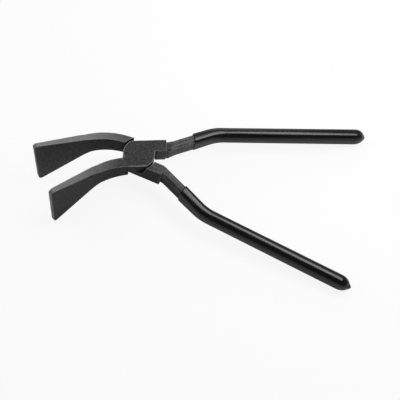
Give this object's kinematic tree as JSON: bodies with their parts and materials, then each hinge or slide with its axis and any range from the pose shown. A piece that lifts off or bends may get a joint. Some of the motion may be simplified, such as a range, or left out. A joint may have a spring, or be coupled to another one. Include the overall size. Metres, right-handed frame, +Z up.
{
  "type": "seaming pliers",
  "caption": "Seaming pliers with wide, offset-curved flat blades on two lapped steel halves that turn on a flush rivet, with long dipped grips for folding sheet metal edges.",
  "frame": {"origin": "where the rivet's axis meets the lower face of the joint", "axes": "+X runs from the joint to the handles along the middle line between them, +Y to the upper handle, away from the side the blades curve to, +Z up along the rivet"},
  "size_m": [0.2544, 0.1364, 0.057],
  "materials": {
    "dark_steel": "dark phosphated, satin",
    "rivet_steel": "dark phosphated, satin",
    "grip_vinyl": "dipped, glossy"
  },
  "bodies": {
    "lower_jaw_lever": {"lower_jaw_half": "dark_steel", "upper_grip": "grip_vinyl", "pivot_rivet": "rivet_steel"},
    "upper_jaw_lever": {"upper_jaw_half": "dark_steel", "lower_grip": "grip_vinyl"}
  },
  "joints": [
    {"name": "jaw_pivot", "type": "hinge", "parent": "lower_jaw_lever", "child": "upper_jaw_lever", "pos_m": [0, 0, 0], "axis": [0, 0, 1], "range_deg": [-16, 25.8]}
  ]
}
